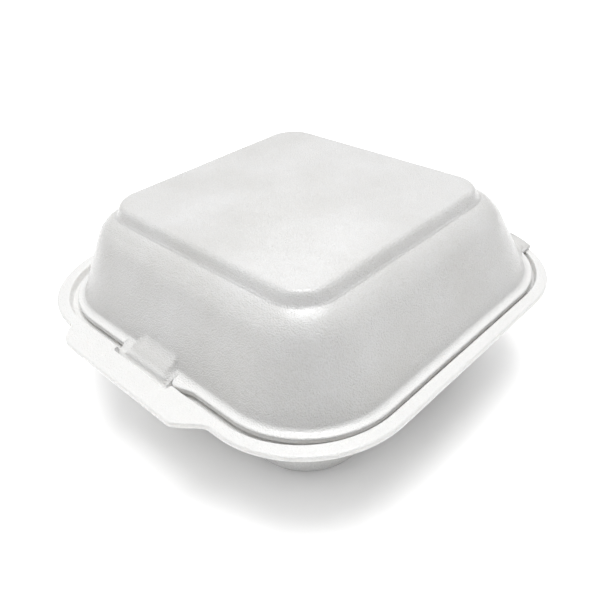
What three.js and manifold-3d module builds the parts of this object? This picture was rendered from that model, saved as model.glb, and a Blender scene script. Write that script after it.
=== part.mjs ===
// Foam clamshell container: one sheet of foamed polystyrene, formed into a
// tray and a lid that share a living hinge along their back edges.
//
// Frame, in millimetres: the origin is the centre of the tray's foot, on the
// surface the container stands on. +Z is up, +Y points to the hinge, and the
// front tab, which the lid's tongue slips through, is on the -Y side.
//
// Both halves are lofts. A ring is a rectangle with round corners, and a
// profile lists the rings met on a walk over the sheet's section, from the
// middle of its lower face, round the rim, to the middle of its upper face.

import * as THREE from 'three';
import { mergeVertices } from 'three/addons/utils/BufferGeometryUtils.js';
import Module from 'manifold-3d';

const wasm = await Module();
wasm.setup();

// ---------------------------------------------------------------- dimensions

const SHEET = 2.1;              // thickness of the foam
const EDGE = 0.5;               // rounding of the rim's cut edges
const CORNER_STEPS = 10;        // facets round each corner of a ring

const FOOT_HALF = 51.8;         // half the width of the tray's foot
const WALL_HALF = 66.4;         // half the width of the tray's wall at WALL_TOP
const WALL_TOP = 30.6;
const RIM_HALF = 76;            // half the width of the tray's rim
const RIM_TOP = 37.4;           // height of the rim's flat top
const RIM_FRONT = -74.9;        // front edge of the rim, without the tab
const HINGE_Y = 71.6;           // back edge of the rim, where the hinge is
const SEAT_HALF = 71.4;         // half the width of the recess the lid sits in
const SEAT_DEPTH = 3.1;         // depth of that recess below the rim's top

// Where the sides of a ring of the tray lie, for a given half width along X:
// its front and back edges, its corner centres' distance from the middle, and
// how much tighter its back corners are. Each pair is [half width, value].
const TRAY_FRONT = [[0, 0], [52, 52], [SEAT_HALF, 70.9], [RIM_HALF, -RIM_FRONT]];
const TRAY_BACK = [[0, 0], [52, 52], [SEAT_HALF, 70.3], [73.3, 71.3], [RIM_HALF, HINGE_Y]];
const TRAY_CORE = [[0, 0], [47, 31], [52, 31], [66.5, 37], [SEAT_HALF, 37.4], [RIM_HALF, 39]];
const TRAY_TIGHTER = [[52, 0], [RIM_HALF, 3.5]];

const LID_HALF = 69.2;          // half the width of the lid's flange
const LID_FRONT = -68.9;        // front edge of the lid's flange
const LID_BACK = 69.6;          // back edge of the lid's flange
const LID_FLANGE_TOP = 37.9;
const LID_CORE = 36.8;          // corner centres of the lid, from its middle
const LID_SIT = 1.4;            // the flange sits this much off centre along X
const LID_TOP_MIDDLE = [0.6, -0.4];
const WALL_FOOT = 65.8;         // half width of the lid's wall at WALL_FOOT_Z
const WALL_FOOT_Z = 40;
const WALL_TILT = THREE.MathUtils.degToRad(24.5);
const SHOULDER_R = 12.7;        // round shoulder between the wall and the top
const SHOULDER_HALF = 50.3;     // half width of the shoulder's inner edge
const SHOULDER_TOP = 65.9;
const SHOULDER_FALL = THREE.MathUtils.degToRad(17.7);
const PLATEAU_HALF = 47;        // raised panel on the lid
const PLATEAU_CORE = 36.9;      // corner centres of that panel
const PLATEAU_TOP = 70.4;
const PLATEAU_SQUASH = -1.5;    // the panel is this much shorter along Y, a side
const STEP_RUN = 2.1;           // how far the panel's sides slope outwards

const TAB_TIP_Y = -81.4;        // front edge of the tab
const TAB_MIDDLE = -2.5;        // middle of the tab along X
const TAB_TIP_HALF = 25.5;      // half length of the tab's straight front edge
const TAB_ROOT_HALF = 36.5;     // half length of the tab where it joins the rim
const SLOT_HALF = 15.6;         // slot in the tab, half length
const SLOT_FRONT = -73.5;
const SLOT_BACK = -69.7;

const TONGUE_MIDDLE = -1.2;     // middle of the lid's tongue along X
const TONGUE_HALF = 13.6;       // half its length
const TONGUE_FRONT = -72.6;
const TONGUE_END_Z = 31.6;
const TONGUE_RAMP_Z = 41.6;     // where the tongue's ramp leaves the lid's wall

const STRIP_HALF = 57;          // hinge strip on the lid's back edge
const STRIP_UNDER = 37.75;
const STRIP_TOP = 39.4;
const STRIP_LAP = 2.4;          // how far the strip laps over the lid's flange
const STRIP_SETBACK = 0.15;     // from the rim's back edge
const STRIP_SLOPE = 2.2;        // how far the strip's ends slope in

const FOAM_COLOUR = 0xf2f2f0;

// --------------------------------------------------------------- ring lofts

// Reads a value off a table of [position, value] pairs, straight between them.
function along(table, position) {
  const last = table.findIndex(([at]) => at >= position);
  if (last <= 0) return last < 0 ? table.at(-1)[1] : table[0][1];
  const [[from, low], [to, high]] = [table[last - 1], table[last]];
  return THREE.MathUtils.mapLinear(position, from, to, low, high);
}

// One ring: a rectangle from x0 to x1 and y0 to y1, whose corners have radius
// r at the front and rBack at the back.
function ring({ x0, x1, y0, y1, r, rBack = r, z }) {
  const corners = [
    [x1 - rBack, y1 - rBack, rBack],
    [x0 + rBack, y1 - rBack, rBack],
    [x0 + r, y0 + r, r],
    [x1 - r, y0 + r, r],
  ];
  return corners.flatMap(([cx, cy, radius], quarter) => {
    const start = (quarter * Math.PI) / 2;
    const end = start + Math.PI / 2;
    const arc = new THREE.EllipseCurve(cx, cy, radius, radius, start, end);
    return arc.getPoints(CORNER_STEPS).map((p) => new THREE.Vector3(p.x, p.y, z));
  });
}

// Joins the rings in order and closes the first and the last with a flat cap.
function loft(rings) {
  const loops = rings.map(ring);
  const count = loops[0].length;
  const points = loops.flat();
  const index = [];
  for (let level = 0; level + 1 < loops.length; level += 1) {
    for (let i = 0; i < count; i += 1) {
      const a = level * count + i;
      const b = level * count + ((i + 1) % count);
      index.push(a, b, b + count, a, b + count, a + count);
    }
  }
  const cap = (level, facing) => {
    const loop = loops[level];
    const middle = loop.reduce((sum, p) => sum.add(p), new THREE.Vector3());
    points.push(middle.divideScalar(count));
    for (let i = 0; i < count; i += 1) {
      const edge = [level * count + i, level * count + ((i + 1) % count)];
      if (facing < 0) edge.reverse();
      index.push(points.length - 1, ...edge);
    }
  };
  cap(0, -1);
  cap(loops.length - 1, 1);
  const geometry = new THREE.BufferGeometry().setFromPoints(points);
  geometry.setIndex(index);
  return geometry;
}

// ------------------------------------------------------------------- solids

function toSolid(geometry) {
  const bare = geometry.clone();
  bare.deleteAttribute('normal');
  bare.deleteAttribute('uv');
  const merged = mergeVertices(bare);
  return new wasm.Manifold(new wasm.Mesh({
    numProp: 3,
    vertProperties: new Float32Array(merged.attributes.position.array),
    triVerts: new Uint32Array(merged.index.array),
  }));
}

function toMesh(name, solid) {
  const { vertProperties, triVerts } = solid.getMesh();
  const geometry = new THREE.BufferGeometry();
  geometry.setAttribute('position', new THREE.BufferAttribute(vertProperties, 3));
  geometry.setIndex(new THREE.BufferAttribute(triVerts, 1));
  geometry.computeVertexNormals();
  const foam = new THREE.MeshStandardMaterial({
    color: FOAM_COLOUR,
    roughness: 0.45,
    metalness: 0,
  });
  const mesh = new THREE.Mesh(geometry, foam);
  mesh.name = name;
  return mesh;
}

// A straight bar along X whose section is given as points (y, z).
function barAlongX(section, middle, half) {
  const shape = new THREE.Shape(section.map(([y, z]) => new THREE.Vector2(y, z)));
  const bar = new THREE.ExtrudeGeometry(shape, { depth: 2 * half, bevelEnabled: false });
  const toXYZ = new THREE.Matrix4().set(
    0, 0, 1, middle - half,
    1, 0, 0, 0,
    0, 1, 0, 0,
    0, 0, 0, 1,
  );
  return toSolid(bar.applyMatrix4(toXYZ));
}

// --------------------------------------------------------------------- tray

function trayRing(half, z) {
  const r = half - along(TRAY_CORE, half);
  return {
    x0: -half,
    x1: half,
    y0: -along(TRAY_FRONT, half),
    y1: along(TRAY_BACK, half),
    r,
    rBack: r - along(TRAY_TIGHTER, half),
    z,
  };
}

function trayProfile() {
  const rimUnder = RIM_TOP - SHEET;
  const seatTop = RIM_TOP - SEAT_DEPTH;
  const seatUnder = seatTop - SHEET;
  const beadTop = seatTop + 0.9;
  return [
    trayRing(FOOT_HALF - 1.2, 0),
    trayRing(FOOT_HALF - 0.2, 0.35),
    trayRing(FOOT_HALF + 0.4, 1.2),
    trayRing(WALL_HALF, WALL_TOP),
    trayRing(WALL_HALF + 1.2, seatUnder - 0.3),
    trayRing(WALL_HALF + 3.1, seatUnder),
    trayRing(SEAT_HALF + 0.8, seatUnder),
    trayRing(SEAT_HALF + 1.6, seatUnder + 0.7),
    trayRing(SEAT_HALF + 1.9, rimUnder - 0.7),
    trayRing(SEAT_HALF + 2.6, rimUnder),
    trayRing(RIM_HALF - EDGE, rimUnder),
    trayRing(RIM_HALF, rimUnder + EDGE),
    trayRing(RIM_HALF, RIM_TOP - EDGE),
    trayRing(RIM_HALF - EDGE, RIM_TOP),
    trayRing(SEAT_HALF + 0.4, RIM_TOP),
    trayRing(SEAT_HALF, RIM_TOP - EDGE),
    trayRing(SEAT_HALF - 0.3, seatTop + 0.6),
    trayRing(SEAT_HALF - 0.8, seatTop),
    trayRing(SEAT_HALF - 4.5, beadTop),
    trayRing(SEAT_HALF - 5.6, beadTop - 0.2),
    trayRing(SEAT_HALF - 6.3, seatTop - 1.1),
    trayRing(FOOT_HALF - 0.3, 5.2),
    trayRing(FOOT_HALF - 1.8, 3.0),
    trayRing(FOOT_HALF - 4.4, SHEET),
  ];
}

// The front tab: flush with the rim, with round ends.
function tabSolid() {
  const root = RIM_FRONT + 3;
  const neck = { x: TAB_ROOT_HALF - 1.5, y: RIM_FRONT - 1.3 };
  const shape = new THREE.Shape();
  shape.moveTo(-TAB_ROOT_HALF, root);
  shape.quadraticCurveTo(-TAB_ROOT_HALF, RIM_FRONT + 1, -neck.x, neck.y);
  shape.quadraticCurveTo(-TAB_TIP_HALF - 6, TAB_TIP_Y, -TAB_TIP_HALF, TAB_TIP_Y);
  shape.lineTo(TAB_TIP_HALF, TAB_TIP_Y);
  shape.quadraticCurveTo(TAB_TIP_HALF + 6, TAB_TIP_Y, neck.x, neck.y);
  shape.quadraticCurveTo(TAB_ROOT_HALF, RIM_FRONT + 1, TAB_ROOT_HALF, root);
  const slab = new THREE.ExtrudeGeometry(shape, {
    depth: SHEET,
    bevelEnabled: false,
    curveSegments: 8,
  });
  slab.translate(TAB_MIDDLE, 0, RIM_TOP - SHEET);
  return toSolid(slab);
}

function slotCutter() {
  const height = 12;
  const box = new THREE.BoxGeometry(2 * SLOT_HALF, SLOT_BACK - SLOT_FRONT, height);
  box.translate(0, (SLOT_FRONT + SLOT_BACK) / 2, RIM_TOP - height / 2 + 2);
  return toSolid(box);
}

function makeTray() {
  const shell = toSolid(loft(trayProfile()));
  return toMesh('tray', shell.add(tabSolid()).subtract(slotCutter()));
}

// ---------------------------------------------------------------------- lid

// A ring of the lid. Its middle and its length along Y move from the flange's
// to the top panel's as the wall rises.
function lidRing(half, z, core = LID_CORE) {
  const rise = (z - LID_FLANGE_TOP) / (PLATEAU_TOP - LID_FLANGE_TOP);
  const t = THREE.MathUtils.clamp(rise, 0, 1);
  const middleX = THREE.MathUtils.lerp(LID_SIT, LID_TOP_MIDDLE[0], t);
  const middleY = THREE.MathUtils.lerp((LID_FRONT + LID_BACK) / 2, LID_TOP_MIDDLE[1], t);
  const flangeExtra = (LID_BACK - LID_FRONT) / 2 - LID_HALF;
  const halfY = half + THREE.MathUtils.lerp(flangeExtra, PLATEAU_SQUASH, t);
  return {
    x0: middleX - half,
    x1: middleX + half,
    y0: middleY - halfY,
    y1: middleY + halfY,
    r: half - core,
    z,
  };
}

// Rings on the round shoulder, offset inwards by the given depth. Its arc
// touches the straight wall and the gently falling strip round the panel.
function shoulder(depth, steps) {
  const wall = new THREE.Vector2(Math.cos(WALL_TILT), Math.sin(WALL_TILT));
  const top = new THREE.Vector2(Math.sin(SHOULDER_FALL), Math.cos(SHOULDER_FALL));
  const wallAt = wall.dot(new THREE.Vector2(WALL_FOOT, WALL_FOOT_Z)) - SHOULDER_R;
  const topAt = top.dot(new THREE.Vector2(SHOULDER_HALF, SHOULDER_TOP)) - SHOULDER_R;
  const area = wall.cross(top);
  const middle = new THREE.Vector2(
    (wallAt * top.y - topAt * wall.y) / area,
    (topAt * wall.x - wallAt * top.x) / area,
  );
  return Array.from({ length: steps + 1 }, (_, i) => {
    const angle = THREE.MathUtils.lerp(top.angle(), wall.angle(), i / steps);
    const radius = SHOULDER_R - depth;
    return lidRing(
      middle.x + radius * Math.cos(angle),
      middle.y + radius * Math.sin(angle),
    );
  });
}

function lidProfile() {
  const panelUnder = PLATEAU_TOP - SHEET;
  const flangeUnder = LID_FLANGE_TOP - SHEET;
  const wallInset = SHEET / Math.cos(WALL_TILT);
  const panelFoot = PLATEAU_HALF + STEP_RUN;
  return [
    lidRing(PLATEAU_HALF - 3, panelUnder, PLATEAU_CORE),
    lidRing(PLATEAU_HALF - 1.7, panelUnder - 0.6, PLATEAU_CORE),
    lidRing(panelFoot - 2.2, SHOULDER_TOP - SHEET + 0.7),
    lidRing(panelFoot - 1.4, SHOULDER_TOP - SHEET + 0.3),
    ...shoulder(SHEET, 5),
    lidRing(WALL_FOOT - wallInset, WALL_FOOT_Z),
    lidRing(WALL_FOOT - 1.3, flangeUnder + 1.2),
    lidRing(WALL_FOOT - 0.3, flangeUnder),
    lidRing(LID_HALF - EDGE, flangeUnder),
    lidRing(LID_HALF, flangeUnder + EDGE),
    lidRing(LID_HALF, LID_FLANGE_TOP - EDGE),
    lidRing(LID_HALF - EDGE, LID_FLANGE_TOP),
    lidRing(WALL_FOOT + 1.5, LID_FLANGE_TOP + 0.05),
    lidRing(WALL_FOOT + 0.8, LID_FLANGE_TOP + 0.5),
    lidRing(WALL_FOOT, WALL_FOOT_Z),
    ...shoulder(0, 6).reverse(),
    lidRing(panelFoot, SHOULDER_TOP + 0.6),
    lidRing(PLATEAU_HALF + 0.7, PLATEAU_TOP - 1.2, PLATEAU_CORE),
    lidRing(PLATEAU_HALF + 0.2, PLATEAU_TOP - 0.35, PLATEAU_CORE),
    lidRing(PLATEAU_HALF - 0.9, PLATEAU_TOP, PLATEAU_CORE),
  ];
}

// The tongue: a ramp off the front wall that turns down through the slot.
function tongueSolid() {
  const wallY = (z) => LID_FRONT + 3.4 + (z - WALL_FOOT_Z) * Math.tan(WALL_TILT);
  const inner = TONGUE_FRONT + 1.9;
  return barAlongX([
    [wallY(TONGUE_RAMP_Z) + 0.6, TONGUE_RAMP_Z - 0.8],
    [wallY(TONGUE_RAMP_Z), TONGUE_RAMP_Z],
    [LID_FRONT - 1.4, LID_FLANGE_TOP + 1.4],
    [TONGUE_FRONT + 0.4, LID_FLANGE_TOP - 0.2],
    [TONGUE_FRONT, LID_FLANGE_TOP - 1.2],
    [TONGUE_FRONT + 0.4, TONGUE_END_Z],
    [inner, TONGUE_END_Z],
    [inner, LID_FLANGE_TOP - 1.9],
    [LID_FRONT + 2.5, LID_FLANGE_TOP - 1.4],
  ], TONGUE_MIDDLE, TONGUE_HALF);
}

// An upright prism with the outline of a ring, taller than the hinge strip.
function prism(outline) {
  const reach = { ...outline, z: STRIP_TOP + 1 };
  return toSolid(loft([{ ...outline, z: STRIP_UNDER - 1 }, reach]));
}

// The hinge strip: a raised band that follows the back of the lid's flange and
// reaches over the recess's lip to the fold. Its ends slope in.
function stripSolid() {
  const block = new THREE.Shape([
    [-STRIP_HALF, STRIP_UNDER],
    [STRIP_HALF, STRIP_UNDER],
    [STRIP_HALF - STRIP_SLOPE, STRIP_TOP],
    [-STRIP_HALF + STRIP_SLOPE, STRIP_TOP],
  ].map(([x, z]) => new THREE.Vector2(x, z)));
  const depth = HINGE_Y - STRIP_SETBACK;
  const bar = new THREE.ExtrudeGeometry(block, { depth, bevelEnabled: false });
  bar.rotateX(Math.PI / 2);
  bar.translate(0, depth, 0);
  const outer = prism(trayRing(RIM_HALF, RIM_TOP));
  const inner = prism(lidRing(LID_HALF - STRIP_LAP, LID_FLANGE_TOP));
  return toSolid(bar).intersect(outer).subtract(inner);
}

function makeLid() {
  const shell = toSolid(loft(lidProfile()));
  return toMesh('lid', shell.add(tongueSolid()).add(stripSolid()));
}

const container = new THREE.Group();
container.add(makeTray(), makeLid());

export default container;
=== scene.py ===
# %% [markdown]
# # Foam clamshell container
#
# A takeaway box made of foamed polystyrene. A warm sheet of foam is drawn into a mould, which
# makes a deep tray and a domed lid side by side, and a knife cuts them out in one piece. They
# stay joined along the back, where the foam is crushed into a fold. Shut, the lid's edge drops
# into a recess in the tray's rim, and its tongue slips through a slot in the front tab.
#
# The CAD model gives the outer sizes and the joint. This script makes the fine surface over it:
# each half is one smooth closed shell with its rounded edges, and the fold gets a piece of its
# own. A few details, such as the slot and the hinge strip, differ a little from the CAD model's.

# %% Load the frame
from math import ceil, cos, pi, radians, sin, tan

import bmesh
import bpy
import numpy as np
from mathutils import Matrix, Vector


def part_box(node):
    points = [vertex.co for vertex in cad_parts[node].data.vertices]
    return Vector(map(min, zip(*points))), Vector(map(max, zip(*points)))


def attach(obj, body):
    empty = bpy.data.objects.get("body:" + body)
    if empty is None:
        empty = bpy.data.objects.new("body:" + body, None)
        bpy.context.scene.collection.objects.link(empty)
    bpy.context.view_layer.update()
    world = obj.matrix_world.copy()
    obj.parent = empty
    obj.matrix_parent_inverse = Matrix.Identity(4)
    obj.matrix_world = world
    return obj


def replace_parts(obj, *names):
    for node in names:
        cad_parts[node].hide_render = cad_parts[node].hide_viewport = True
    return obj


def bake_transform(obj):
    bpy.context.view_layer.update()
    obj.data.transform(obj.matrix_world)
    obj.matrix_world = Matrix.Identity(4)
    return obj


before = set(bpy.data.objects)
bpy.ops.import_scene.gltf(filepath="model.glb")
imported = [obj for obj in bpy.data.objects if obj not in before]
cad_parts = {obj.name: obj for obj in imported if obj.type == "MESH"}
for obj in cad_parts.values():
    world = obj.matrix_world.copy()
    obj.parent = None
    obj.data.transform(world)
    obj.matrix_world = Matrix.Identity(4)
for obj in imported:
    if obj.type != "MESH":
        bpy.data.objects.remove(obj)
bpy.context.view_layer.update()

# %% [markdown]
# ## Sizes
#
# Lengths below are in millimetres, because a sheet of foam is about two of them thick, and
# Blender gets metres at the last moment. The outer sizes are read from the frame's boxes, so a
# change in the CAD model comes through here. The rest are the few sizes that shape the section.

# %% Sizes from the frame
MM = 0.001
TRAY_LOW, TRAY_HIGH = (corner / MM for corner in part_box("tray"))
LID_LOW, LID_HIGH = (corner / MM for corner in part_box("lid"))

RIM_HALF = TRAY_HIGH.x          # half the width of the tray's rim
RIM_TOP = TRAY_HIGH.z
HINGE_EDGE = TRAY_HIGH.y        # the rim's back edge
TAB_TIP = TRAY_LOW.y            # front edge of the tab
PANEL_TOP = LID_HIGH.z          # top of the lid's raised panel
TONGUE_TIP = LID_LOW.z          # lower end of the lid's tongue
TONGUE_FRONT = LID_LOW.y
LID_SIT = (LID_LOW.x + LID_HIGH.x) / 2      # the lid sits a little off centre
LID_HALF = (LID_HIGH.x - LID_LOW.x) / 2     # half the width of its flange

# %% Sizes of the foam
SHEET = 2.1                     # thickness of the sheet
CUT_EDGE = 0.85                 # roundness of the pressed and cut rim
RIM_FRONT = 74.9                # from the middle to the rim's front edge, without the tab
FLANGE_TOP = 37.9               # top of the lid's flange
FLANGE_FRONT, FLANGE_BACK = -68.9, 69.6

# %% [markdown]
# ## Sums on sockets
#
# A node tree can do arithmetic, but one Math node for each plus sign is hard to read in a script.
# One small class wraps a socket, and its operators add the Math nodes, so that a formula in
# Python stays a formula. The same class serves geometry and shader trees. Any other node comes
# from `add`, which sets the node's settings first, because they decide which sockets it has.

# %% A node from its type, settings and values
def add(tree, kind, settings=None, values=None):
    node = tree.nodes.new(kind)
    for key, value in (settings or {}).items():
        if key == "stops":
            ramp = node.color_ramp
            for position, tone in value[1:-1]:
                ramp.elements.new(position)
            for element, (position, tone) in zip(ramp.elements, value):
                element.position = position
                element.color = (tone, tone, tone, 1) if isinstance(tone, float) else tone
        else:
            setattr(node, key, value)
    shown = [socket for socket in node.inputs if socket.enabled]
    for key, value in (values or {}).items():
        socket = shown[key] if isinstance(key, int) else next(s for s in shown if s.name == key)
        if isinstance(value, Sum):
            tree.links.new(value.socket, socket)
        else:
            socket.default_value = value
    return Sum(tree, next((socket for socket in node.outputs if socket.enabled), None))


# %% A socket that adds up
class Sum:
    """One output of a node. Arithmetic on it adds Math nodes to its tree."""

    def __init__(self, tree, socket):
        self.tree = tree
        self.socket = socket

    def out(self, name):
        """Another output of the same node."""
        outputs = self.socket.node.outputs
        return Sum(self.tree, next(s for s in outputs if s.enabled and s.name == name))

    def maths(self, operation, *values):
        return add(self.tree, "ShaderNodeMath", {"operation": operation}, dict(enumerate(values)))

    def __add__(self, other):
        return self.maths("ADD", self, other)

    def __radd__(self, other):
        return self.maths("ADD", other, self)

    def __sub__(self, other):
        return self.maths("SUBTRACT", self, other)

    def __rsub__(self, other):
        return self.maths("SUBTRACT", other, self)

    def __mul__(self, other):
        return self.maths("MULTIPLY", self, other)

    def __rmul__(self, other):
        return self.maths("MULTIPLY", other, self)

    def __truediv__(self, other):
        return self.maths("DIVIDE", self, other)

    def __rtruediv__(self, other):
        return self.maths("DIVIDE", other, self)

    def floor(self):
        return self.maths("FLOOR", self)

    def rounded(self):
        return self.maths("ROUND", self)

    def size(self):
        return self.maths("ABSOLUTE", self)

    def sign(self):
        return self.maths("SIGN", self)

    def cosine(self):
        return self.maths("COSINE", self)

    def sine(self):
        return self.maths("SINE", self)

    def at_least(self, other):
        return self.maths("MAXIMUM", self, other)

    def at_most(self, other):
        return self.maths("MINIMUM", self, other)


# %% [markdown]
# ## A section swept round a square with round corners
#
# Both halves are the same kind of shape. Cut one from its middle to its edge and you see the
# section of the sheet, out along the bottom, up the wall, round the rim and back inside. That
# section goes round a square whose corners are arcs. A lathe would make it round, and a
# subdivided cube would need its corners pulled by hand for every change of size. A Geometry
# Nodes tree does it by rule: a grid has one row for each point of the section and one column
# for each step round the square, and every vertex works out its own place.
#
# The section arrives as a row of loose vertices that carry the ring's sizes as attributes: how
# far its corner centres stand from the middle, where its front and back edges lie, how much
# tighter its back corners are, and how far the ring is shifted sideways.

# %% Numbers that the tree reads off the section
def ring_readings(tree, section, row):
    def read(kind, value):
        settings = {"data_type": kind, "domain": "POINT", "clamp": True}
        return add(tree, "GeometryNodeSampleIndex", settings,
                   {"Geometry": section, "Value": value, "Index": row})

    def named(name):
        attribute = add(tree, "GeometryNodeInputNamedAttribute", {"data_type": "FLOAT"},
                        {"Name": name})
        return read("FLOAT", attribute)

    place = read("FLOAT_VECTOR", add(tree, "GeometryNodeInputPosition"))
    xyz = add(tree, "ShaderNodeSeparateXYZ", None, {"Vector": place})
    return {"half": xyz.out("X"), "height": xyz.out("Z"),
            **{name: named(name) for name in ("core", "front", "back", "tighter", "shift")}}


# %% Where a ring's corner is
def corner_point(tree, ring, corner, angle):
    """The point at an angle on the arc of corner 0, 1, 2 or 3, counted from +X +Y."""
    phase = (corner + 0.5) * (pi / 2)
    side = phase.cosine().sign()
    is_back = (phase.sine().sign() + 1) * 0.5
    radius = (ring["half"] - ring["core"] - ring["tighter"] * is_back).at_least(0)
    x = side * (ring["half"] - radius) + angle.cosine() * radius + ring["shift"]
    edge = (ring["back"] - radius) * is_back - (ring["front"] - radius) * (1 - is_back)
    y = edge + angle.sine() * radius
    return add(tree, "ShaderNodeCombineXYZ", None, {"X": x, "Y": y, "Z": ring["height"]})


# %% The tree
def make_sweep_tree():
    tree = bpy.data.node_groups.new("sweep_round_square", "GeometryNodeTree")
    face = tree.interface
    face.new_socket("Section", in_out="INPUT", socket_type="NodeSocketGeometry")
    for name, kind, value in (
        ("Corner Steps", "NodeSocketInt", 16),
        ("Side Steps", "NodeSocketInt", 100),
        ("Unevenness", "NodeSocketFloat", 0.0),
        ("Unevenness Seed", "NodeSocketFloat", 0.0),
    ):
        face.new_socket(name, in_out="INPUT", socket_type=kind).default_value = value
    face.new_socket("Foam", in_out="INPUT", socket_type="NodeSocketMaterial")
    face.new_socket("Shell", in_out="OUTPUT", socket_type="NodeSocketGeometry")
    given = add(tree, "NodeGroupInput")
    section = given.out("Section")
    bend_steps, side_steps = given.out("Corner Steps"), given.out("Side Steps")

    # the grid, whose columns go round the square and whose rows go along the section
    size = add(tree, "GeometryNodeAttributeDomainSize", {"component": "MESH"},
               {"Geometry": section})
    rows = size.out("Point Count")
    quarter = bend_steps + side_steps
    columns = quarter * 4 + 1
    grid = add(tree, "GeometryNodeMeshGrid", None, {
        "Size X": columns - 1, "Size Y": rows - 1, "Vertices X": columns, "Vertices Y": rows})
    flat = add(tree, "ShaderNodeSeparateXYZ", None,
               {"Vector": add(tree, "GeometryNodeInputPosition")})
    column = (flat.out("X") + (columns - 1) * 0.5).rounded()
    row = (flat.out("Y") + (rows - 1) * 0.5).rounded()

    # a quarter is an arc, then the straight side that follows it
    corner = (column / quarter).floor()
    step = column - corner * quarter
    turned = (step / bend_steps).at_most(1)
    along = (step - bend_steps).at_least(0) / side_steps
    angle = (corner + turned) * (pi / 2)
    ring = ring_readings(tree, section, row)
    place = add(tree, "ShaderNodeMix", {"data_type": "VECTOR"}, {
        "Factor": along,
        "A": corner_point(tree, ring, corner, angle),
        "B": corner_point(tree, ring, corner + 1, angle)})
    outward = add(tree, "ShaderNodeCombineXYZ", None, {
        "X": angle.cosine(), "Y": angle.sine(), "Z": 0.0})

    # each vertex keeps its ring's number and the way out of the shape, for later cells
    shell = grid
    for name, kind, value in (("ring", "FLOAT", row), ("outward", "FLOAT_VECTOR", outward)):
        shell = add(tree, "GeometryNodeStoreNamedAttribute",
                    {"data_type": kind, "domain": "POINT"},
                    {"Geometry": shell, "Name": name, "Value": value})
    shell = add(tree, "GeometryNodeSetPosition", None, {"Geometry": shell, "Position": place})

    # no moulded foam is dead flat: both faces drift together by a fraction of a millimetre
    drift = add(tree, "ShaderNodeTexNoise", {"noise_dimensions": "4D"}, {
        "W": given.out("Unevenness Seed"), "Scale": 22.0, "Detail": 1.0})
    centred = add(tree, "ShaderNodeVectorMath", {"operation": "SUBTRACT"},
                  {0: drift.out("Color"), 1: (0.5, 0.5, 0.5)})
    offset = add(tree, "ShaderNodeVectorMath", {"operation": "SCALE"},
                 {"Vector": centred, "Scale": given.out("Unevenness")})
    shell = add(tree, "GeometryNodeSetPosition", None, {"Geometry": shell, "Offset": offset})

    shell = add(tree, "GeometryNodeMergeByDistance", None,
                {"Geometry": shell, "Distance": 0.002 * MM})
    shell = add(tree, "GeometryNodeRealizeInstances", None, {"Geometry": shell})
    shell = add(tree, "GeometryNodeSetMaterial", None,
                {"Geometry": shell, "Material": given.out("Foam")})
    add(tree, "NodeGroupOutput", None, {"Shell": shell})
    return tree


SWEEP = make_sweep_tree()
print("sweep tree:", len(SWEEP.nodes), "nodes")


# %% An outline with round corners
def round_off(corners, longest=2.5, turn=radians(14)):
    """Points of an outline whose corners (half, height, radius) are rounded, in steps."""
    spots = [Vector(c[:2]) for c in corners]
    points = [spots[0]]
    for before, spot, after, (_, _, radius) in zip(spots, spots[1:], spots[2:], corners[1:]):
        come = (spot - before).normalized()
        go = (after - spot).normalized()
        bend = come.angle_signed(go, 0.0)
        cut = radius * tan(abs(bend) / 2)
        first = spot - come * cut
        steps = max(1, ceil(abs(bend) / turn))
        inward = Vector((-come.y, come.x)) * (radius if bend < 0 else -radius)
        middle = first + inward
        for i in range(steps + 1):
            arm = Matrix.Rotation(-bend * i / steps, 2) @ -inward
            points.append(middle + arm)
    points.append(spots[-1])
    fine = [points[0]]
    for start, end in zip(points, points[1:]):
        pieces = max(1, ceil((end - start).length / longest))
        fine += [start.lerp(end, (i + 1) / pieces) for i in range(pieces)]
    return np.array([tuple(p) for p in fine])


def meet(spot_a, angle_a, spot_b, angle_b):
    """Where two straight lines of a section cross. Angles are from the outward direction."""
    way_a = np.array((cos(angle_a), sin(angle_a)))
    way_b = np.array((cos(angle_b), sin(angle_b)))
    gap = np.subtract(spot_b, spot_a)
    reach = np.linalg.solve(np.column_stack((way_a, -way_b)), gap)[0]
    return tuple(np.add(spot_a, reach * way_a))


# %% From a section to a shell
def sweep(name, section, ring_sizes, material, unevenness, seed):
    """Sweeps a section (half, height) and returns the shell as a plain object."""
    half, height = section.T
    mesh = bpy.data.meshes.new(name)
    mesh.from_pydata([(a * MM, 0, z * MM) for a, z in section], [], [])
    for key, values in ring_sizes(half, height).items():
        attribute = mesh.attributes.new(key, "FLOAT", "POINT")
        attribute.data.foreach_set("value", np.asarray(values, np.float32) * MM)
    row = bpy.data.objects.new(name + "_section", mesh)
    bpy.context.scene.collection.objects.link(row)
    modifier = row.modifiers.new("sweep", "NODES")
    modifier.node_group = SWEEP
    settings = {"Corner Steps": 22, "Side Steps": 120, "Unevenness": unevenness * MM,
                "Unevenness Seed": seed, "Foam": material}
    for item in SWEEP.interface.items_tree:
        if item.name in settings:
            modifier[item.identifier] = settings[item.name]
    settled = row.evaluated_get(bpy.context.evaluated_depsgraph_get())
    shell = bpy.data.objects.new(name, bpy.data.meshes.new_from_object(settled))
    bpy.context.scene.collection.objects.link(shell)
    bpy.data.objects.remove(row)
    print(f"{name}: {len(section)} rings, {len(shell.data.polygons)} faces")
    return shell


# %% Reading and writing a shell's vertices
def read(mesh, name, width):
    values = np.zeros(len(mesh.vertices) * width, np.float32)
    key = "vector" if width == 3 else "value"
    mesh.attributes[name].data.foreach_get(key, values)
    return values.reshape(-1, width) if width > 1 else values


def places(mesh):
    return read(mesh, "position", 3).astype(float) / MM


def put(mesh, points, box=None):
    if box:
        points = np.clip(points, tuple(box[0]), tuple(box[1]))
    mesh.vertices.foreach_set("co", (points * MM).astype(np.float32).ravel())
    mesh.update()


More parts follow.
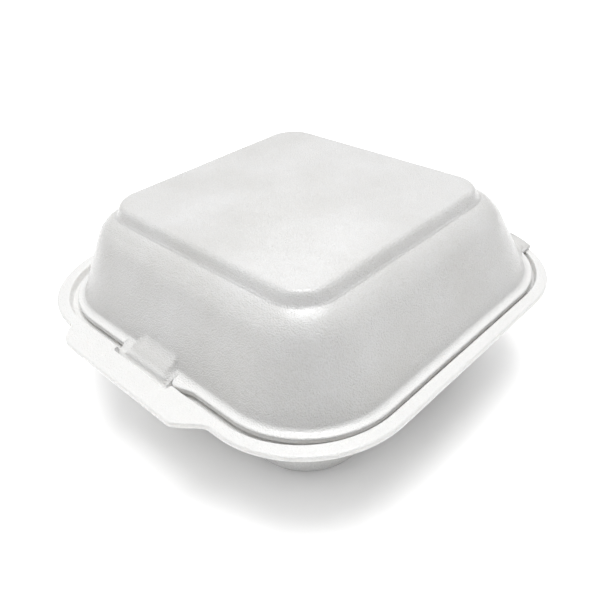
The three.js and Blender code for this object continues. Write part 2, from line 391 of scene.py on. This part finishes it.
def ease(values, start, end):
    """0 before start, 1 after end, and a smooth step between them."""
    t = np.clip((np.asarray(values) - start) / (end - start), 0, 1)
    return t * t * (3 - 2 * t)


# %% Bending part of the section to another outline
def reshape(mesh, section, rings, outline, share):
    """Moves the rings numbered first to last on to another outline, by a share per vertex.
    Returns how far out each vertex now stands, as half a width."""
    first, last = rings
    old = section[first:last + 1]
    walk = np.r_[0, np.cumsum(np.hypot(*np.diff(old, axis=0).T))]
    new_walk = np.r_[0, np.cumsum(np.hypot(*np.diff(outline, axis=0).T))]
    at = walk / walk[-1] * new_walk[-1]
    new = np.column_stack([np.interp(at, new_walk, outline[:, k]) for k in (0, 1)])
    move = np.zeros_like(section)
    move[first:last + 1] = new - old
    ring = read(mesh, "ring", 1).round().astype(int)
    shift = move[ring] * share(places(mesh), section[ring])[:, None]
    points = places(mesh) + read(mesh, "outward", 3) * shift[:, :1]
    points[:, 2] += shift[:, 1]
    put(mesh, points)
    return section[ring, 0] + shift[:, 0]


# %% [markdown]
# ## The foam
#
# Expanded polystyrene sheet is a skin of tiny pressed beads. Close to, it looks pebbled, and
# the beads catch the light one at a time, which gives the sheet its sparkle. Further off it is
# soft and matt, with a faint warmth. Light goes a little way into it, so its shadows are never
# hard. The material has beads about half a millimetre across, an orange peel a few times as
# large, and slow drifts of tone and gloss where the sheet was stretched.

# %% Foam material
def foam(name, seed, bead=0.45, crushed=0.0):
    material = bpy.data.materials.new(name)
    material.use_nodes = True
    tree = material.node_tree
    tree.nodes.clear()
    where = add(tree, "ShaderNodeTexCoord").out("Object")

    def noise(size, detail):
        return add(tree, "ShaderNodeTexNoise", {"noise_dimensions": "4D"}, {
            "Vector": where, "W": seed, "Scale": 1 / (size * MM), "Detail": detail,
            "Roughness": 0.55}).out("Fac")

    beads = add(tree, "ShaderNodeTexVoronoi", {"feature": "SMOOTH_F1"}, {
        "Vector": where, "Scale": 1 / (bead * MM), "Smoothness": 0.35, "Randomness": 0.9})
    peel = noise(2.4, 2.0)
    drift = noise(28.0, 3.0)
    speck = noise(0.42, 1.0)

    tone = drift * 0.45 + speck * 0.35 + (1 - beads) * 0.2 - 0.02
    colour = add(tree, "ShaderNodeValToRGB", {"stops": [
        (0.38, (0.62, 0.615, 0.60, 1)),
        (0.50, (0.67, 0.667, 0.66, 1)),
        (0.62, (0.72, 0.72, 0.72, 1))]}, {"Fac": tone})
    level = add(tree, "ShaderNodeSeparateXYZ", None, {"Vector": where}).out("Z")

    def band(value, start, end, low=0.0, high=1.0):
        return add(tree, "ShaderNodeMapRange", {"interpolation_type": "SMOOTHSTEP"}, {
            "Value": value, "From Min": start * MM, "From Max": end * MM,
            "To Min": low, "To Max": high})

    def mix(share, one, other):
        return add(tree, "ShaderNodeMix", {"data_type": "RGBA"},
                   {"Factor": share, "A": one, "B": other})

    # the rim and the recess are painted paler, which stands in for light passing through foam
    rim_white = mix(band(level, 36.9, 37.35), (0.93, 0.925, 0.91, 1), (0.79, 0.789, 0.782, 1))
    off_rim = (level - 36.7 * MM).size()
    colour = mix(band(off_rim, 1.6, 2.6, 0.85, 0.0), colour, rim_white)
    rough = 0.18 + drift * 0.14 + speck * 0.2 + crushed * 0.1
    gloss = add(tree, "ShaderNodeValToRGB", {"stops": [
        (0.40, 0.15), (0.56, 0.6), (0.70, 1.0)]}, {"Fac": speck})
    height = peel * 0.18 - beads * 0.6 + speck * 0.45
    if crushed:
        xyz = add(tree, "ShaderNodeSeparateXYZ", None, {"Vector": where})
        wrinkle = add(tree, "ShaderNodeTexNoise", {"noise_dimensions": "1D"}, {
            "W": xyz.out("X"), "Scale": 900.0, "Detail": 2.0}).out("Fac")
        height = height + wrinkle * crushed
    normal = add(tree, "ShaderNodeBump", None, {
        "Strength": 1.0, "Distance": 0.27 * MM, "Height": height})
    surface = add(tree, "ShaderNodeBsdfPrincipled", None, {
        "Base Color": colour, "Roughness": rough, "Normal": normal, "IOR": 1.42,
        "Subsurface Weight": 0.25, "Subsurface Radius": (1.0, 0.95, 0.9),
        "Subsurface Scale": 1.0 * MM, "Coat Weight": gloss, "Coat Roughness": 0.20})
    add(tree, "ShaderNodeOutputMaterial", None, {"Surface": surface})
    return material


FOAM = {"tray": foam("foam_tray", 1.3), "lid": foam("foam_lid", 4.7),
        "fold": foam("foam_crushed", 8.1, bead=0.5, crushed=0.9)}
print("materials:", sorted(m.name for m in FOAM.values()))

# %% [markdown]
# ## The tray
#
# The walls lean out so that the tray comes off its mould and stacks. At the top the sheet steps
# out into a recess, whose floor takes the lid's flange, then up and over into a flat rim. Its
# corners get rounder with height: tight at the foot, wide at the rim.

# %% Tray section
FOOT_HALF = 51.6
SEAT = RIM_TOP - 3.1            # floor of the recess
TRAY_OUTLINE = [
    (0, 0, 0), (FOOT_HALF, 0, 1.6), (67.2, SEAT - SHEET, 1.6), (73.0, SEAT - SHEET, 0.8),
    (73.3, RIM_TOP - SHEET, 0.7), (RIM_HALF, RIM_TOP - SHEET, CUT_EDGE),
    (RIM_HALF, RIM_TOP, CUT_EDGE), (71.5, RIM_TOP, 0.6), (71.0, SEAT, 0.7),
    (66.2, SEAT + 1.0, 0.9), (50.0, SHEET, 3.5), (0, SHEET, 0),
]


def spread(section, fine_from, fine, coarse):
    """Splits long steps of a section, and splits them finely only beyond fine_from."""
    points = [section[0]]
    for start, end in zip(section, section[1:]):
        longest = fine if max(start[0], end[0]) > fine_from else coarse
        pieces = max(1, ceil(np.hypot(*(end - start)) / longest))
        points += [start + (end - start) * (i + 1) / pieces for i in range(pieces)]
    return np.array(points)


TRAY_SECTION = spread(round_off(TRAY_OUTLINE, longest=6), 60, 1.4, 4)


def tray_rings(half, _height):
    return {
        "core": np.interp(half, [0, 47, 52, 66.5, 71.4, 76], [0, 31, 31, 37, 37.4, 39]),
        "front": np.interp(half, [0, 52, 71.4, RIM_HALF], [0, 52, 70.9, RIM_FRONT]),
        "back": np.interp(half, [0, 52, 71.4, 73.3, RIM_HALF], [0, 52, 70.3, 71.3, HINGE_EDGE]),
        "tighter": np.interp(half, [52, RIM_HALF], [0, 3.5]),
        "shift": np.zeros_like(half),
    }


tray = sweep("tray_shell", TRAY_SECTION, tray_rings, FOAM["tray"], 0.25, 2.0)

# %% [markdown]
# ## The tab and its slot
#
# The knife leaves a tab at the front for a thumb. It is the rim itself, drawn forward, with a
# sharp notch at its left end and an easy curve at its right one. A faint crease crosses it. The
# slot for the lid's tongue is punched where the tab joins the rim.

# %% Draw the rim forward into the tab
TAB_LEFT, TAB_RIGHT = -38.6, 36
NOTCH_LENGTH, NOTCH_SHARPNESS, CURVE_LENGTH = 10.5, 2.4, 11.5
CREASE_X, CREASE_WIDTH, CREASE_DEPTH = -15.2, 0.5, 0.22


def tab_reach(x):
    """How far the rim's front edge is drawn forward, along X."""
    left = 1 - (1 - np.clip((x - TAB_LEFT) / NOTCH_LENGTH, 0, 1)) ** NOTCH_SHARPNESS
    right = ease(TAB_RIGHT - x, 0, CURVE_LENGTH)
    return (-RIM_FRONT - TAB_TIP) * left * right


points = places(tray.data)
ring = read(tray.data, "ring", 1).round().astype(int)
half = TRAY_SECTION[ring, 0]
on_rim = (points[:, 1] < 0) & (TRAY_SECTION[ring, 1] > RIM_TOP - SHEET - 0.2)
drawn = np.clip((half - 72.5) / 2.8, 0, 1) * on_rim
points[:, 1] -= drawn * tab_reach(points[:, 0])
crease = np.exp(-((points[:, 0] - CREASE_X) / CREASE_WIDTH) ** 2) * ease(-points[:, 1], 73.5, 75)
points[:, 2] -= CREASE_DEPTH * crease * (points[:, 2] > RIM_TOP - 0.5) * on_rim
put(tray.data, points, (TRAY_LOW, TRAY_HIGH))
print(f"tab drawn forward to y {points[:, 1].min():.1f}")

# %% Punch the slot
SLOT_LEFT, SLOT_RIGHT, SLOT_FRONT, SLOT_BACK = -15.2, 14.2, -73.5, -69.7
SLOT_ROUND = 1.4                # roundness of its corners
SLOT_NARROWS = 0.6              # how much narrower it is at its left end
PAST = 2                        # how far the cutter passes the sheet, above and below


def punch(shell, low, high, round_by, narrower):
    """Cuts an upright hole with round corners through a shell. Its left end is narrower.
    Returns how many edges aren't shared by exactly two faces."""
    cutter_mesh = bpy.data.meshes.new("cutter")
    block = bmesh.new()
    bmesh.ops.create_cube(block, size=1)
    bmesh.ops.scale(block, vec=(Vector(high) - Vector(low)) * MM, verts=block.verts)
    bmesh.ops.translate(block, vec=(Vector(high) + Vector(low)) / 2 * MM, verts=block.verts)
    upright = [e for e in block.edges
               if abs(e.verts[0].co.z - e.verts[1].co.z) > MM]
    for corner in block.verts:
        if corner.co.x < 0 and corner.co.y < (low[1] + high[1]) / 2 * MM:
            corner.co.y += narrower * MM
    bmesh.ops.bevel(block, geom=upright, offset=round_by * MM, segments=5, affect="EDGES",
                    profile=0.5)
    block.to_mesh(cutter_mesh)
    cutter = bpy.data.objects.new("cutter", cutter_mesh)
    bpy.context.scene.collection.objects.link(cutter)
    cut = shell.modifiers.new("punch", "BOOLEAN")
    cut.operation, cut.solver, cut.object = "DIFFERENCE", "EXACT", cutter
    settled = shell.evaluated_get(bpy.context.evaluated_depsgraph_get())
    mesh = bpy.data.meshes.new_from_object(settled)
    shell.modifiers.clear()
    # The cut leaves many-sided faces. Left to the export, splitting them can put four faces on
    # one edge, and the shell no longer counts as closed, so they are split here.
    split = bmesh.new()
    split.from_mesh(mesh)
    bmesh.ops.triangulate(split, faces=split.faces)
    bad_edges = sum(len(e.link_faces) != 2 for e in split.edges)
    split.to_mesh(mesh)
    split.free()
    shell.data = mesh
    bpy.data.objects.remove(cutter)
    return bad_edges


bad_edges = punch(tray, (SLOT_LEFT, SLOT_FRONT, SEAT - SHEET - PAST),
                  (SLOT_RIGHT, SLOT_BACK, RIM_TOP + PAST), SLOT_ROUND, SLOT_NARROWS)
print("slot punched, faces:", len(tray.data.polygons), "edges not shared by two:", bad_edges)

# %% [markdown]
# ## The lid
#
# The lid is a low dome with a raised panel. Its wall leans in, turns over on a wide round
# shoulder, and climbs gently to the panel's step. Its flange is a flat band that drops into the
# recess. Every corner centre stands at the same distance from the middle, so the corners get
# tighter as the dome closes in.

# %% Lid section
WALL_WAY = radians(90 + 24.5)   # up the wall, which leans inwards
TOP_WAY = radians(180 - 17.7)   # up the gentle slope round the panel
SHOULDER = 12.7


def lid_outline():
    wall, top = (65.8, 40.0), (50.3, PANEL_TOP - 4.5)
    inner_wall = (wall[0] - SHEET * sin(WALL_WAY), wall[1] + SHEET * cos(WALL_WAY))
    inner_top = (top[0] - SHEET * sin(TOP_WAY), top[1] + SHEET * cos(TOP_WAY))
    flange, under, flat = FLANGE_TOP, FLANGE_TOP - SHEET, 0.0

    def corner(*lines, radius):
        return (*meet(*lines), radius)

    return [
        (0, PANEL_TOP - SHEET, 0),
        (45.2, PANEL_TOP - SHEET, 1.0),
        corner((46.9, 0), pi / 2, inner_top, TOP_WAY, radius=0.8),
        corner(inner_top, TOP_WAY, inner_wall, WALL_WAY, radius=SHOULDER - SHEET),
        corner(inner_wall, WALL_WAY, (0, under), flat, radius=1.2),
        (LID_HALF, under, 0.6),
        (LID_HALF, flange, 0.6),
        corner(wall, WALL_WAY, (0, flange), flat, radius=2.0),
        corner(wall, WALL_WAY, top, TOP_WAY, radius=SHOULDER),
        corner((49.1, 0), pi / 2, top, TOP_WAY, radius=1.2),
        (47.3, PANEL_TOP, 2.2),
        (0, PANEL_TOP, 0),
    ]


LID_SECTION = spread(round_off(lid_outline(), longest=6), 43, 1.5, 4)


def lid_rings(half, height):
    rise = np.clip((height - FLANGE_TOP) / (PANEL_TOP - FLANGE_TOP), 0, 1)
    near = np.clip(half / 44, 0, 1)
    middle = (FLANGE_BACK + FLANGE_FRONT) / 2 * (1 - rise) - 0.4 * rise
    longer = ((FLANGE_BACK - FLANGE_FRONT) / 2 - LID_HALF) * (1 - rise) - 1.5 * rise
    return {
        "core": np.interp(half, [0, 44], [0, 36.8]),
        "front": half + (longer * near - middle),
        "back": half + (longer * near + middle),
        "tighter": np.zeros_like(half),
        "shift": LID_SIT * (1 - rise) + 0.6 * rise,
    }


lid = sweep("lid_shell", LID_SECTION, lid_rings, FOAM["lid"], 0.3, 5.0)

# %% [markdown]
# ## The tongue and the hinge strip
#
# Both are the lid's own flange, bent to another outline over part of its length. At the front
# it ramps out from the wall and turns down as a tongue. At the back it rises over the recess's
# lip and reaches the fold.

# %% Which rings belong to the flange
def flange_rings(section, low_half, top_height):
    """First and last ring of the flange, from its underside up to a height on the wall."""
    half, height = section.T
    outermost = int(np.argmax(half))
    first = max(i for i in range(outermost) if half[i] < low_half)
    last = min(i for i in range(outermost, len(section)) if height[i] > top_height)
    return first, last


# %% Tongue
TONGUE_MIDDLE, TONGUE_HALF = -1.2, 13.6
out = -TONGUE_FRONT + 0.3       # the tongue's face, as half a width in the section
first, last = flange_rings(LID_SECTION, 66.6, 41.6)
tongue_outline = round_off([
    (*LID_SECTION[first], 0), (out - 1.9, 35.9, 0.5), (out - 1.9, TONGUE_TIP, 0.6),
    (out, TONGUE_TIP, 0.8), (out - 1.2, 37.3, 1.0), (out - 3.2, 39.4, 1.5),
    (*LID_SECTION[last], 0),
], longest=0.4)


def on_tongue(points, old):
    x = points[:, 0] - TONGUE_MIDDLE
    sides = ease(TONGUE_HALF - np.abs(x), -0.1, 0.5) * (points[:, 1] < 0)
    arch = 41.7 - 3.7 * np.where(x < 0, np.abs(x / 10.4) ** 2.2, np.abs(x / 12.2) ** 9)
    arch = np.maximum(arch, 38.6)
    return sides * ease(arch - old[:, 1], -0.1, 0.5)


reshape(lid.data, LID_SECTION, (first, last), tongue_outline, on_tongue)

# %% The flange's curled end beside the tongue
CURL_OUT, CURL_DOWN = 1.5, 0.5
points = places(lid.data)
ring = read(lid.data, "ring", 1).round().astype(int)
edge = ease(LID_SECTION[ring, 0], 66.2, 69.0) * (LID_SECTION[ring, 1] < 39)
beside = ease(points[:, 0], 12.2, 13.4) * (1 - ease(points[:, 0], 14, 23)) * (points[:, 1] < 0)
points[:, 1] -= CURL_OUT * edge * beside
points[:, 2] -= CURL_DOWN * edge * beside
put(lid.data, points)

# %% Hinge strip
STRIP_HALF, STRIP_TOP = 57.0, 39.4
STRIP_UNDER = 37.52             # close over the rim, so that little of the gap shows
STRIP_BACK = 71.05
CORNER_EXTRA = 2.2              # the rim's back corners stand further out than the flange
first, last = flange_rings(LID_SECTION, 66.2, 40.2)
strip_outline = round_off([
    (*LID_SECTION[first], 0), (LID_HALF, 35.8, 0.6), (LID_HALF, STRIP_UNDER, 0.3),
    (STRIP_BACK, STRIP_UNDER, 0.4), (STRIP_BACK, STRIP_TOP, 0.5), (66.9, STRIP_TOP, 0.6),
    (*LID_SECTION[last], 0),
], longest=0.4)


def on_strip(points, _old):
    return ease(STRIP_HALF - np.abs(points[:, 0]), 0, 1.1) * (points[:, 1] > 0)


reach_out = reshape(lid.data, LID_SECTION, (first, last), strip_outline, on_strip)
points = places(lid.data)
in_corner = ease(np.abs(points[:, 0]), 38, 48) * (points[:, 1] > 0)
wider = CORNER_EXTRA * ease(reach_out, 69.6, 70.9) * in_corner
points += read(lid.data, "outward", 3) * wider[:, None]
put(lid.data, points, (LID_LOW, LID_HIGH))
print("tongue and hinge strip bent")

# %% [markdown]
# ## The fold
#
# The hinge isn't a separate part: the sheet is crushed thin along one line, and that skin bends.
# Here a wrinkled strip a third of a millimetre thick stands in for it, at the back edges of the
# tray's rim and the lid's strip. It isn't tied to either body.

# %% Crushed skin
FOLD_HALF, FOLD_STEPS = 41.0, 160


def crushed_strip(half_length, steps):
    section = [(71.05, 36.85), (71.30, 36.9), (71.50, 37.2), (71.55, 37.57), (71.50, 37.9),
               (71.30, 38.25), (71.05, 38.3), (71.15, 37.9), (71.22, 37.57), (71.15, 37.2)]
    rng = np.random.default_rng(7)
    wobble = np.convolve(rng.normal(0, 0.035, steps + 5), np.ones(5) / 5, "valid")
    strip = bmesh.new()
    loops = []
    for x, w in zip(np.linspace(-half_length, half_length, steps + 1), wobble):
        loops.append([strip.verts.new((x * MM, (y - abs(w)) * MM, (z + w) * MM))
                      for y, z in section])
    count = len(section)
    for a, b in zip(loops, loops[1:]):
        for i in range(count):
            j = (i + 1) % count
            strip.faces.new((a[i], a[j], b[j], b[i]))
    strip.faces.new(loops[0][::-1])
    strip.faces.new(loops[-1])
    bmesh.ops.recalc_face_normals(strip, faces=strip.faces)
    mesh = bpy.data.meshes.new("hinge_web")
    strip.to_mesh(mesh)
    mesh.materials.append(FOAM["fold"])
    web = bpy.data.objects.new("hinge_web", mesh)
    bpy.context.scene.collection.objects.link(web)
    return web


web = crushed_strip(FOLD_HALF, FOLD_STEPS)

# %% [markdown]
# ## Shading and bodies
#
# Each shell is smooth except at its punched edges. The tray and the lid each ride on their CAD
# body, and the fold stays where it is built.

# %% Finish the pieces
for shell in (tray, lid, web):
    fix = bmesh.new()
    fix.from_mesh(shell.data)
    bmesh.ops.recalc_face_normals(fix, faces=fix.faces)
    fix.to_mesh(shell.data)
    fix.free()
    shell.data.shade_smooth()
    shell.data.set_sharp_from_angle(angle=radians(50))
    print(shell.name, "triangles:", sum(len(p.vertices) - 2 for p in shell.data.polygons))
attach(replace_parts(tray, "tray"), "tray")
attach(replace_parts(lid, "lid"), "lid")
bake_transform(web)

# %% [markdown]
# ## Studio
#
# A white table under a large soft light keeps the shadows short and pale, and four smaller lights
# shape the walls. The table also glows, except under the box. That stands in for the light that a
# bright studio throws back, and it isn't how a real table behaves.

# %% Floor
floor_mesh = bpy.data.meshes.new("floor")
reach = 3.0                     # metres from the middle to an edge
below = -0.05 * MM              # clear of the foot, so that the two don't flicker
floor_mesh.from_pydata([(-reach, -reach, below), (reach, -reach, below),
                        (reach, reach, below), (-reach, reach, below)], [], [(0, 1, 2, 3)])
floor = bpy.data.objects.new("floor", floor_mesh)
bpy.context.scene.collection.objects.link(floor)
white = bpy.data.materials.new("white_table")
white.use_nodes = True
paint = white.node_tree.nodes["Principled BSDF"]
paint.inputs["Base Color"].default_value = (0.9, 0.9, 0.9, 1)
paint.inputs["Roughness"].default_value = 0.5
from_middle = add(white.node_tree, "ShaderNodeVectorMath", {"operation": "LENGTH"}, {
    0: add(white.node_tree, "ShaderNodeTexCoord").out("Object")})
glow = add(white.node_tree, "ShaderNodeValToRGB", {"stops": [
    (0.05, 0.05), (0.09, 1.0), (0.2, 1.0)]}, {"Fac": from_middle})
white.node_tree.links.new(glow.socket, paint.inputs["Emission Color"])
paint.inputs["Emission Strength"].default_value = 0.46
floor_mesh.materials.append(white)

# %% Lights
def area_light(name, place, size, power):
    lamp = bpy.data.lights.new(name, "AREA")
    lamp.shape, lamp.size, lamp.energy = "DISK", size, power
    light = bpy.data.objects.new(name, lamp)
    light.location = place
    light.rotation_euler = (-Vector(place)).to_track_quat("-Z", "Y").to_euler()
    bpy.context.scene.collection.objects.link(light)


area_light("overhead", (-0.02, 0.05, 2.2), 1.6, 41)
area_light("key", (-0.06, 0.06, 1.2), 0.3, 2.6)
area_light("left", (-1.1, -0.95, 0.66), 0.9, 2.2)
area_light("right", (1.05, 0.9, 0.66), 0.9, 0.9)
area_light("behind", (-0.62, 0.62, 0.71), 0.35, 0.55)
world = bpy.data.worlds.new("studio")
world.use_nodes = True
room = world.node_tree
direction = add(room, "ShaderNodeTexCoord").out("Generated")
away = add(room, "ShaderNodeVectorMath", {"operation": "DOT_PRODUCT"},
           {0: direction, 1: (-0.7, 0.7, 0.1)})
walls = add(room, "ShaderNodeValToRGB", {"stops": [
    (0.0, 0.10), (0.4, 0.18), (0.62, 0.34), (1.0, 0.40)]}, {"Fac": away * 0.5 + 0.5})
room.links.new(walls.socket, room.nodes["Background"].inputs["Color"])
bpy.context.scene.world = world
bpy.context.scene.view_settings.view_transform = "Standard"

# %% Camera
AROUND, UP_BY, ROLL = radians(45.85), radians(34.71), radians(-3.72)
TARGET, DISTANCE = Vector((3.05, -3.99, 27.83)), 244.39
back = Vector((sin(AROUND) * cos(UP_BY), -cos(AROUND) * cos(UP_BY), sin(UP_BY)))
right = Vector((cos(AROUND), sin(AROUND), 0))
up = back.cross(right)
across = right * cos(ROLL) + up * sin(ROLL)
upright = up * cos(ROLL) - right * sin(ROLL)
camera_data = bpy.data.cameras.new("camera")
camera_data.lens, camera_data.sensor_width, camera_data.clip_start = 38.54, 36, 0.01
camera = bpy.data.objects.new("camera", camera_data)
bpy.context.scene.collection.objects.link(camera)
turn = Matrix((across, upright, back)).transposed().to_4x4()
camera.matrix_world = Matrix.Translation((TARGET + back * DISTANCE) * MM) @ turn
bpy.context.scene.camera = camera
print("camera at", [round(c, 4) for c in camera.matrix_world.translation])
